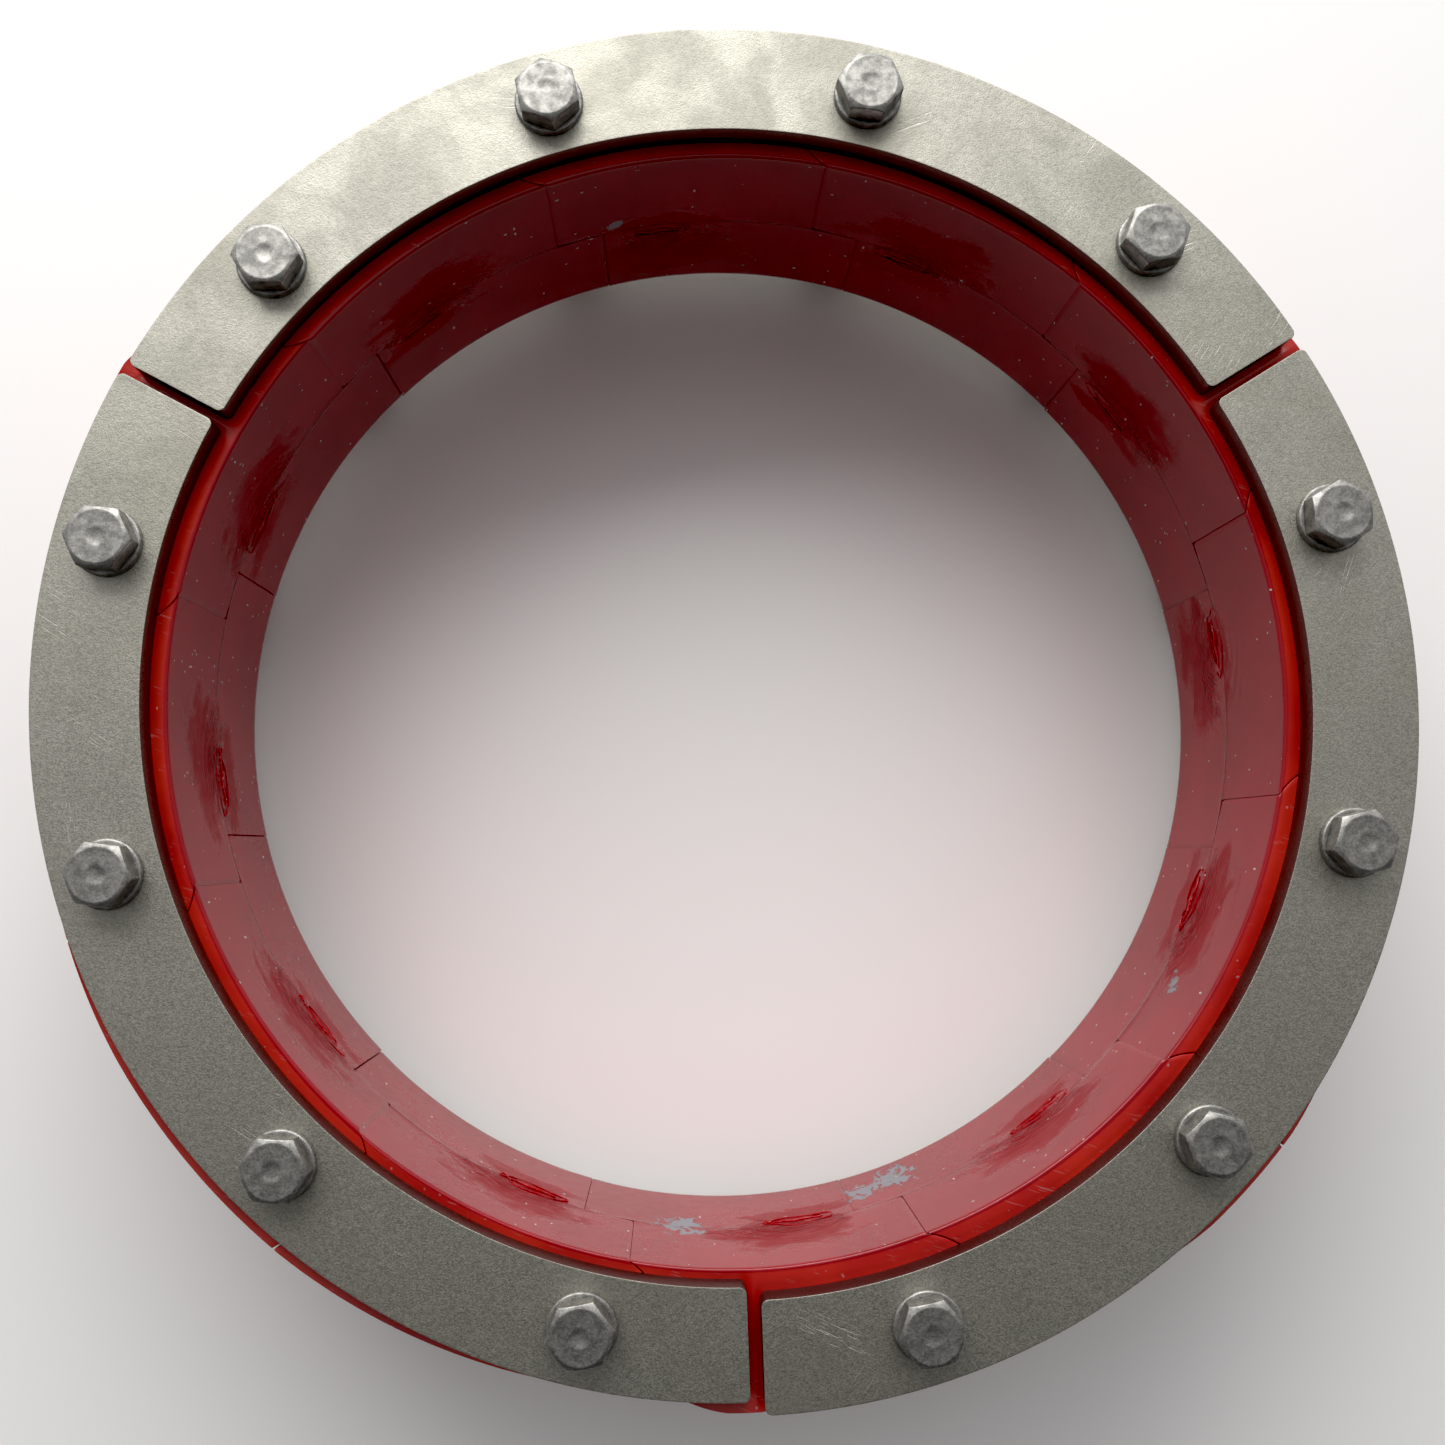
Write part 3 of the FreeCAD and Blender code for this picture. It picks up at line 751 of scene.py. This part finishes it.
# ---------------------------------------------------------------- materials


class Shader:
    """Adds nodes to one material and joins them; each method returns the new node's output."""

    def __init__(self, name, **constants):
        self.material = bpy.data.materials.new(name)
        self.material.use_nodes = True
        self.tree = self.material.node_tree
        self.surface = self.tree.nodes["Principled BSDF"]
        for socket, value in constants.items():
            self.surface.inputs[socket.replace("_", " ")].default_value = value

    def add(self, kind, inputs, **settings):
        made = self.tree.nodes.new(kind)
        for key, value in settings.items():
            setattr(made, key, value)
        for key, value in inputs.items():
            self.feed(made.inputs[key], value)
        return made

    def feed(self, socket, value):
        if isinstance(value, bpy.types.NodeSocket):
            self.tree.links.new(value, socket)
        elif value is not None:
            socket.default_value = value

    def place(self):
        """The point on the object, in millimetres."""
        coordinates = self.add("ShaderNodeTexCoord", {}).outputs["Object"]
        return self.scaled(coordinates, (1000, 1000, 1000))

    def scaled(self, vector, factors):
        return self.add("ShaderNodeVectorMath", {0: vector, 1: factors}, operation="MULTIPLY").outputs[0]

    def moved(self, vector, by):
        return self.add("ShaderNodeVectorMath", {0: vector, 1: by}, operation="SUBTRACT").outputs[0]

    def turned(self, vector, angle, axis=(0, 0, 1)):
        return self.add("ShaderNodeVectorRotate", {"Vector": vector, "Axis": axis, "Angle": angle}).outputs[0]

    def length(self, vector):
        return self.add("ShaderNodeVectorMath", {0: vector}, operation="LENGTH").outputs["Value"]

    def math(self, operation, a, b=None, c=None):
        return self.add("ShaderNodeMath", {0: a, 1: b, 2: c}, operation=operation).outputs[0]

    def noise(self, vector, scale, detail=2.0, roughness=0.5, distortion=0.0):
        inputs = {"Vector": vector, "Scale": scale, "Detail": detail, "Roughness": roughness,
                  "Distortion": distortion}
        return self.add("ShaderNodeTexNoise", inputs).outputs["Fac"]

    def cells(self, vector, scale, output="Distance"):
        return self.add("ShaderNodeTexVoronoi", {"Vector": vector, "Scale": scale}).outputs[output]

    def attribute(self, name, output):
        made = self.add("ShaderNodeAttribute", {}, attribute_name=name, attribute_type="GEOMETRY")
        return made.outputs[output]

    def part_of(self, vector, axis):
        return self.add("ShaderNodeSeparateXYZ", {0: vector}).outputs[axis]

    def ramp(self, value, low, high, to_low=0.0, to_high=1.0, smooth=True):
        inputs = {0: value, 1: low, 2: high, 3: to_low, 4: to_high}
        kind = "SMOOTHSTEP" if smooth else "LINEAR"
        return self.add("ShaderNodeMapRange", inputs, interpolation_type=kind).outputs[0]

    def mix(self, factor, a, b, blend="MIX"):
        """Mix two colours; a plain three-number colour gets its alpha here."""
        a, b = ((*value, 1.0) if isinstance(value, tuple) else value for value in (a, b))
        made = self.add("ShaderNodeMix", {0: factor, 6: a, 7: b}, data_type="RGBA", blend_type=blend)
        return made.outputs[2]

    def bump(self, height, distance_mm, strength=1.0, normal=None):
        inputs = {"Height": height, "Distance": distance_mm * MM, "Strength": strength, "Normal": normal}
        return self.add("ShaderNodeBump", inputs).outputs[0]

    def set(self, **sockets):
        for socket, value in sockets.items():
            self.feed(self.surface.inputs[socket.replace("_", " ")], value)


# Gouged places on the front plates: where, which way the gouges run, and how far they reach.
SCUFFS = (
    ((21, -178, 48), -0.45, (17, 5, 6)),
    ((135, 127, 48), 0.4, (9, 4, 6)),
    ((-55, 176, 48), -0.1, (12, 3, 6)),
    ((180, 30, 48), 1.2, (10, 3, 6)),
    ((-186, -30, 48), 1.7, (12, 3, 6)),
    ((60, 168, 48), 0.3, (14, 3, 6)),
)


def plate_steel():
    """Bead-blasted stainless steel: fine mottled grain, faint rolling streaks, stains and scuffs."""
    s = Shader("plate_steel", Metallic=1.0)
    at = s.place()
    grain = s.noise(at, 2.2, 2.0, 0.6)
    coarse = s.noise(at, 0.6, 3.0, 0.6)
    patches = s.noise(s.moved(at, (31, 7, 0)), 0.045, 4.0, 0.6, 0.6)
    stains = s.noise(s.moved(at, (5, 70, 0)), 0.018, 3.0, 0.55)
    tone = s.ramp(grain, 0.28, 0.72, -0.06, 0.66, smooth=False)
    tone = s.math("ADD", tone, s.ramp(coarse, 0.3, 0.7, 0.04, 0.18))
    tone = s.math("ADD", tone, s.ramp(patches, 0.3, 0.7, -0.04, 0.2))
    colour = s.mix(tone, (0.245, 0.238, 0.209), (0.525, 0.512, 0.456))
    colour = s.mix(s.ramp(stains, 0.35, 0.7, 0.0, 0.25), colour, (0.36, 0.34, 0.28))
    scratched = 0.0
    for angle, offset, squeeze in ((0.6, (0, 90, 3), 0.05), (2.2, (60, 10, 3), 0.09)):
        lines = s.noise(s.scaled(s.turned(at, angle), (squeeze, 2.2, 1.0)), 1.0, 1.0, 0.4)
        areas = s.noise(s.moved(at, offset), 0.04, 2.0)
        marks = s.math("MULTIPLY", s.ramp(lines, 0.68, 0.74), s.ramp(areas, 0.55, 0.66))
        scratched = s.math("MAXIMUM", marks, scratched)
    worn = 0.0
    for place, angle, size in SCUFFS:
        near = s.length(s.scaled(s.turned(s.moved(at, place), -angle), tuple(1 / value for value in size)))
        lines = s.noise(s.scaled(s.turned(at, -angle), (0.12, 1.6, 1.0)), 1.0, 2.0, 0.5, 0.5)
        gouges = s.math("MULTIPLY", s.ramp(near, 0.3, 1.0, 1.0, 0.0), s.ramp(lines, 0.56, 0.64))
        worn = s.math("MAXIMUM", gouges, worn)
    scratched = s.math("MAXIMUM", s.math("MULTIPLY", scratched, 0.5), worn)
    colour = s.mix(s.math("MULTIPLY", scratched, 0.6), colour, (0.68, 0.67, 0.63))
    # painted reflection and shade: the plate's sides get a dark reddish brown that stands in for the red
    # elastomer they mirror and the shade they sit in
    normal = s.add("ShaderNodeTexCoord", {}).outputs["Normal"]
    side = s.ramp(s.math("ABSOLUTE", s.part_of(normal, 2)), 0.35, 0.8, 1.0, 0.0)
    painted_side_reflection = s.mix(grain, (0.12, 0.055, 0.052), (0.2, 0.1, 0.095))
    colour = s.mix(s.math("MULTIPLY", side, 0.92), colour, painted_side_reflection)
    rough = s.math("ADD", s.ramp(grain, 0.3, 0.7, 0.46, 0.56), s.ramp(patches, 0.35, 0.7, 0.05, -0.05))
    relief = s.math("ADD", grain, s.math("MULTIPLY", coarse, 0.6))
    relief = s.math("SUBTRACT", relief, s.math("MULTIPLY", scratched, 0.9))
    s.set(Base_Color=colour, Roughness=rough, Normal=s.bump(relief, 0.12, 0.6))
    return s.material


def turned_steel(name, dark, light, roughness):
    """Satin steel of small forged and stamped pieces: clouded, scuffed, brighter on worn spots."""
    s = Shader(name, Metallic=1.0)
    at = s.place()
    clouds = s.noise(at, 0.35, 3.0, 0.6)
    grain = s.noise(at, 1.8, 2.0, 0.6)
    dents = s.cells(s.moved(at, (5, 9, 1)), 0.42)
    tone = s.math("ADD", s.ramp(clouds, 0.3, 0.7, 0.0, 0.7), s.ramp(grain, 0.35, 0.7, -0.1, 0.3))
    colour = s.mix(tone, dark, light)
    rough = s.math("ADD", s.ramp(clouds, 0.3, 0.7, roughness + 0.05, roughness - 0.04),
                   s.ramp(grain, 0.3, 0.7, -0.03, 0.06))
    relief = s.math("ADD", s.math("MULTIPLY", grain, 0.5), s.math("MULTIPLY", clouds, 1.2))
    relief = s.math("ADD", relief, s.ramp(dents, 0.0, 0.35, -0.35, 0.0))
    s.set(Base_Color=colour, Roughness=rough, Normal=s.bump(relief, 0.10, 0.5))
    return s.material


# Dried splashes on the bore wall: angle in degrees, height, and how far they reach along X, Y and Z.
SMEARS = (
    (262.6, -3, (9, 6, 13)),
    (283.6, -20, (7, 5, 10)),
    (288, -23, (12, 5, 14)),
    (326, 12, (4, 5, 5)),
    (101, 5, (5, 4, 3)),
)


def seal_rubber():
    """Glossy moulded red elastomer: flow ripples, a parting line, specks of dirt and dry smears."""
    s = Shader("seal_rubber", IOR=1.52)
    at = s.place()
    flow = s.attribute("flow", "Vector")
    lies_on = s.part_of(flow, 2)
    inside = s.ramp(lies_on, 0.2, 0.55)
    wall = s.ramp(lies_on, 0.65, 0.95)
    clouds = s.noise(at, 0.03, 3.0, 0.5)
    mottle = s.noise(at, 0.25, 3.0, 0.6)
    face_colour = s.mix(s.ramp(clouds, 0.35, 0.65), (0.40, 0.018, 0.018), (0.52, 0.032, 0.022))
    wall_colour = s.mix(s.ramp(clouds, 0.3, 0.7), (0.25, 0.003, 0.009), (0.305, 0.005, 0.012))
    # where the melt spread from the gate: a deep-coloured flame in the front half and a smaller one behind
    flat = s.scaled(flow, (1, 1, 0))
    drift = s.scaled(at, (0.014, 0.014, 0))
    stretched = s.add("ShaderNodeVectorMath", {0: s.scaled(flat, (0.06, 0.13, 0)), 1: drift}, operation="ADD")
    licks = s.noise(stretched.outputs[0], 1.0, 4.0, 0.55, 0.8)
    wander = s.math("MULTIPLY", s.math("SUBTRACT", licks, 0.5), 2.0)
    flame = s.length(s.scaled(s.moved(flat, (-5, 14, 0)), (1 / 23, 1 / 15, 0)))
    flame = s.math("ADD", flame, wander)
    small = s.length(s.scaled(s.moved(flat, (-1, -6, 0)), (1 / 22, 1 / 7, 0)))
    small = s.ramp(s.math("ADD", small, wander), 0.5, 1.0, 0.8, 0.0)
    fan = s.math("MULTIPLY", s.math("MAXIMUM", s.ramp(flame, 0.55, 1.2, 1.0, 0.0), small), wall)
    # ripples nest round the gate, clearest where the flame frays
    bend = s.math("MULTIPLY", s.noise(s.scaled(flat, (0.06, 0.1, 0)), 1.0, 2.0, 0.5, 0.6), 16.0)
    reach = s.length(s.scaled(s.moved(flat, (-4, 2, 0)), (0.5, 1.0, 0.0)))
    phase = s.math("MULTIPLY", s.math("ADD", reach, bend), 4.2)
    fringe = s.math("MULTIPLY", s.ramp(flame, 0.8, 1.3, 1.0, 0.0), wall)
    rippled = s.math("MULTIPLY", s.ramp(reach, 7.0, 19.0, 1.0, 0.12), s.ramp(mottle, 0.38, 0.52, 0.15, 1.0))
    ripples = s.math("MULTIPLY", s.math("MULTIPLY", s.math("SINE", phase), rippled), fringe)
    colour = s.mix(inside, face_colour, wall_colour)
    colour = s.mix(s.math("MULTIPLY", fan, 0.8), colour, (0.26, 0.002, 0.007))
    colour = s.mix(s.math("MULTIPLY", s.ramp(ripples, 0.1, 0.9), 0.5), colour, (0.11, 0.001, 0.004))
    colour = s.mix(s.math("MULTIPLY", s.attribute("flash", "Fac"), 0.7), colour, (0.42, 0.008, 0.012))
    # parting line at mid-depth
    seam = s.math("MULTIPLY", s.ramp(s.math("ABSOLUTE", s.part_of(at, 2)), 0.15, 0.5, 1.0, 0.0), wall)
    colour = s.mix(s.math("MULTIPLY", seam, 0.6), colour, (0.10, 0.002, 0.005))
    # the faces are scratched a little
    lines = s.noise(s.scaled(s.turned(at, 0.35), (0.12, 3.0, 1.0)), 1.0, 0.0)
    places = s.noise(s.moved(at, (17, 3, 0)), 0.12, 1.0)
    scratch = s.math("MULTIPLY", s.ramp(lines, 0.70, 0.76), s.ramp(places, 0.52, 0.6))
    scratch = s.math("MULTIPLY", scratch, s.math("SUBTRACT", 1.0, inside))
    colour = s.mix(s.math("MULTIPLY", scratch, 0.5), colour, (0.5, 0.2, 0.2))
    # flecks of dirt, dried smears
    speck = 0.0
    for squeeze, offset in (((1.0, 1.0, 0.4), (0, 0, 0)), ((0.5, 1.0, 1.0), (40, 10, 5)),
                            ((1.0, 0.6, 1.2), (9, 30, 2))):
        where = s.scaled(s.moved(at, offset), squeeze)
        size = s.add("ShaderNodeSeparateColor", {0: s.cells(where, 0.23, "Color")}).outputs[0]
        dot = s.math("LESS_THAN", s.cells(where, 0.23), s.ramp(size, 0.4, 1.0, 0.0, 0.085))
        speck = s.math("MAXIMUM", dot, speck)
    speck = s.math("MULTIPLY", speck, s.ramp(wall, 0.0, 1.0, 0.3, 1.0))
    torn = s.noise(s.scaled(at, (0.5, 0.9, 0.4)), 0.3, 5.0, 0.6, 1.5)
    torn = s.math("MULTIPLY", s.math("SUBTRACT", torn, 0.5), 3.6)
    smear = 0.0
    for angle, height, size in SMEARS:
        turn = math.radians(angle)
        place = (BORE_RADIUS * math.cos(turn), BORE_RADIUS * math.sin(turn), height)
        near = s.length(s.scaled(s.moved(at, place), tuple(1 / value for value in size)))
        smear = s.math("MAXIMUM", s.ramp(s.math("ADD", near, torn), 0.5, 0.62, 1.0, 0.0), smear)
    colour = s.mix(s.math("MULTIPLY", smear, 0.94), colour, (0.27, 0.29, 0.32))
    colour = s.mix(speck, colour, (0.60, 0.55, 0.52))
    rough = s.math("ADD", s.ramp(mottle, 0.3, 0.7, 0.17, 0.25), s.math("MULTIPLY", fan, 0.16))
    rough = s.math("ADD", rough, s.math("MULTIPLY", s.math("SUBTRACT", 1.0, inside), 0.12))
    rough = s.math("ADD", rough, s.math("MULTIPLY", smear, 0.25))
    relief = s.math("ADD", s.math("MULTIPLY", ripples, 0.6), s.math("MULTIPLY", mottle, 0.12))
    relief = s.math("ADD", relief, s.math("MULTIPLY", s.math("ADD", speck, smear), 0.5))
    relief = s.math("SUBTRACT", relief, s.math("MULTIPLY", seam, 0.8))
    relief = s.math("SUBTRACT", relief, s.math("MULTIPLY", fan, 0.6))
    dulled = s.math("MULTIPLY", s.math("MAXIMUM", fan, smear), 0.33)
    s.set(Base_Color=colour, Roughness=rough, Normal=s.bump(relief, 0.3, 0.8),
          Specular_IOR_Level=s.math("SUBTRACT", 0.5, dulled))
    return s.material


def studio_floor():
    s = Shader("studio_floor", IOR=1.45, Roughness=0.8)
    tone = s.noise(s.place(), 0.004, 2.0)
    s.set(Base_Color=s.mix(tone, (0.93, 0.93, 0.93), (0.96, 0.96, 0.96)))
    return s.material


MATERIALS = {
    "plate_steel": plate_steel(),
    "fastener_steel": turned_steel("fastener_steel", (0.215, 0.212, 0.203), (0.455, 0.446, 0.424), 0.49),
    "washer_steel": turned_steel("washer_steel", (0.215, 0.212, 0.203), (0.455, 0.446, 0.424), 0.49),
    "seal_rubber": seal_rubber(),
}


# ---------------------------------------------------------------- the object

for segment in SEGMENTS:
    for side, body in (("front", f"press_{segment}"), ("rear", "rear_frame")):
        node = f"{side}_plate_{segment}"
        low, high = corners(node)
        finish_piece(make_plate(node + "_shown", segment, low[2], high[2]), body, node, "plate_steel")
for number in SCREWS:
    make_link(number)
    screw, washer, nut = f"screw_{number:02d}", f"washer_{number:02d}", f"nut_{number:02d}"
    finish_piece(make_screw(screw, number), f"turning_{screw}", screw, "fastener_steel")
    finish_piece(make_washer(washer), f"press_{segment_of(number)}", washer, "washer_steel")
    finish_piece(make_nut(nut), "rear_frame", nut, "fastener_steel")


# ---------------------------------------------------------------- floor, light and camera

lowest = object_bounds()[0][2]
bpy.ops.mesh.primitive_plane_add(size=8.0, location=(0, 0, lowest - 0.0005))
floor = bpy.context.object
floor.name = "studio_floor"
floor.data.materials.append(studio_floor())


def key_light(location, size, power, colour):
    """A softbox above the top of the ring, turned to its centre."""
    data = bpy.data.lights.new("key_softbox", "AREA")
    data.shape = "RECTANGLE"
    data.size, data.size_y = size
    data.energy = power
    data.color = colour
    made = bpy.data.objects.new("key_softbox", data)
    made.location = location
    made.rotation_euler = (-Vector(location)).to_track_quat("-Z", "Y").to_euler()
    bpy.context.scene.collection.objects.link(made)


def studio_room(ratio, strength):
    """Plain white surroundings, brightest behind the top of the ring and dim behind its foot."""
    world = bpy.data.worlds.new("studio")
    world.use_nodes = True
    bpy.context.scene.world = world
    tree = world.node_tree

    def combined(operation, first, second):
        made = tree.nodes.new("ShaderNodeMath")
        made.operation = operation
        for socket, value in zip(made.inputs, (first, second)):
            if isinstance(value, bpy.types.NodeSocket):
                tree.links.new(value, socket)
            else:
                socket.default_value = value
        return made.outputs[0]

    direction = tree.nodes.new("ShaderNodeTexCoord")
    split = tree.nodes.new("ShaderNodeSeparateXYZ")
    tree.links.new(direction.outputs["Generated"], split.inputs[0])
    dim = tree.nodes.new("ShaderNodeMapRange")
    dim.interpolation_type = "SMOOTHSTEP"
    for socket, value in zip(dim.inputs[1:5], (-0.6, 0.1, 0.5, 1.0)):
        socket.default_value = value
    tree.links.new(split.outputs["Y"], dim.inputs[0])
    gradient = combined("POWER", ratio, split.outputs["Y"])
    level = combined("MULTIPLY", combined("MULTIPLY", gradient, dim.outputs[0]), strength)
    background = tree.nodes["Background"]
    tree.links.new(level, background.inputs["Strength"])
    background.inputs["Color"].default_value = (1.0, 1.0, 1.0, 1.0)


def set_camera(location, turns, lens, shift):
    """The scene's camera, from its place in metres and its turns about X, Y and Z in degrees."""
    data = bpy.data.cameras.new("camera")
    data.sensor_width = 36.0
    data.lens = lens
    data.shift_x, data.shift_y = shift
    data.clip_start = 0.01
    camera = bpy.data.objects.new("camera", data)
    camera.location = location
    camera.rotation_euler = Euler([math.radians(turn) for turn in turns])
    bpy.context.scene.collection.objects.link(camera)
    bpy.context.scene.camera = camera


key_light((-0.18, 1.1, 0.85), (1.3, 0.8), 16.0, (1.0, 0.985, 0.95))
studio_room(ratio=4.7, strength=0.41)
set_camera((-0.01806, -0.04455, 0.42608), (4.465, -1.29, -2.027), 33.29, (0.01273, 0.01682))

# a plain transform whose darkest tones are cut to black
view = bpy.context.scene.view_settings
view.view_transform = "Standard"
view.use_curve_mapping = True
view.curve_mapping.black_level = (0.014, 0.014, 0.014)
view.curve_mapping.update()
